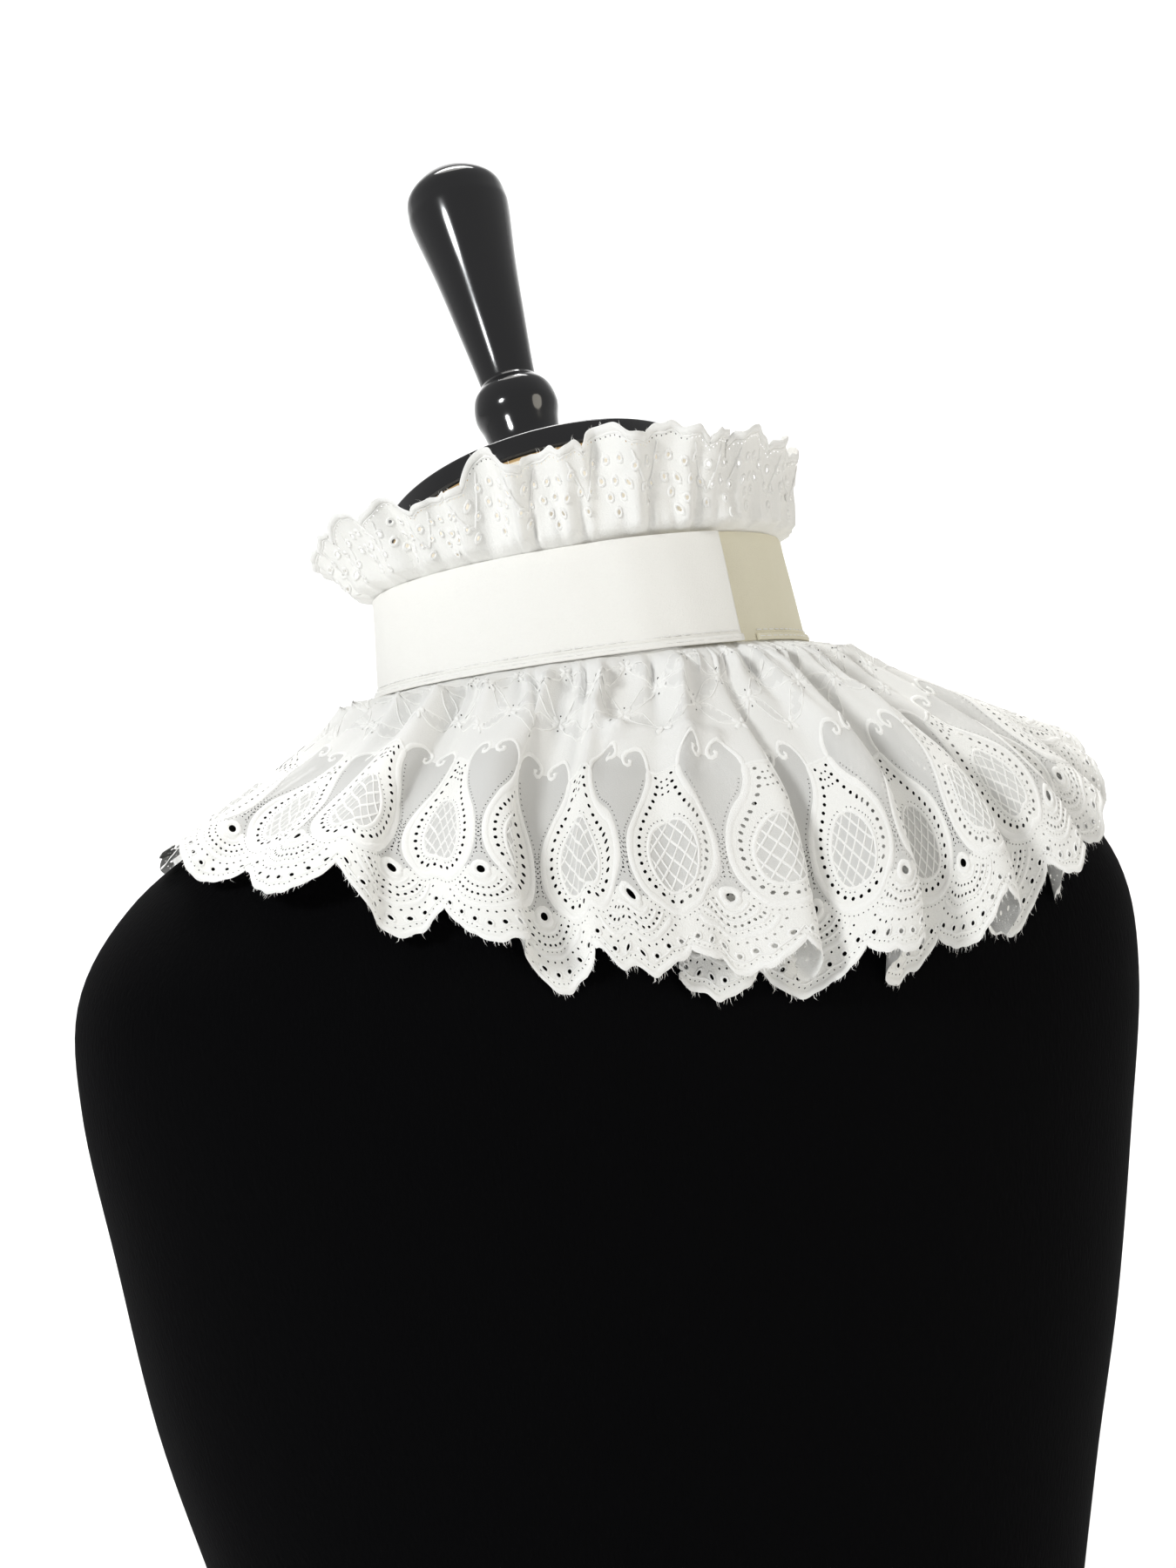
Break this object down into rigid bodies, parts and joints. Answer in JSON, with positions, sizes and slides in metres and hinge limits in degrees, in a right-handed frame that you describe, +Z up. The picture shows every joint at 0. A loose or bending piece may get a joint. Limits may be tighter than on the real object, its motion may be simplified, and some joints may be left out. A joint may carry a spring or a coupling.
{
  "type": "lace collar on a dress form",
  "caption": "High stand collar in plain cotton with a gathered eyelet frill above and a deep gathered eyelet flounce below, closed at the back on a limbless form.",
  "frame": {"origin": "centre of the form's flat underside, on the surface it stands on", "axes": "+Z up the form, +Y out of its chest, +X to the right of the collar's back, which faces -Y"},
  "size_m": [0.3472, 0.2586, 0.5732],
  "materials": {
    "form_cover": "matt black knit",
    "neck_jersey": "cream jersey",
    "black_lacquer": "gloss black lacquer",
    "band_cotton": "plain white cotton",
    "eyelet_lace": "fine white cotton with eyelet embroidery"
  },
  "bodies": {
    "root": {"form_torso": "form_cover", "form_neck": "neck_jersey", "form_cap": "black_lacquer", "form_finial": "black_lacquer", "band": "band_cotton", "band_tape": "band_cotton", "frill": "eyelet_lace", "flounce": "eyelet_lace"}
  },
  "joints": []
}
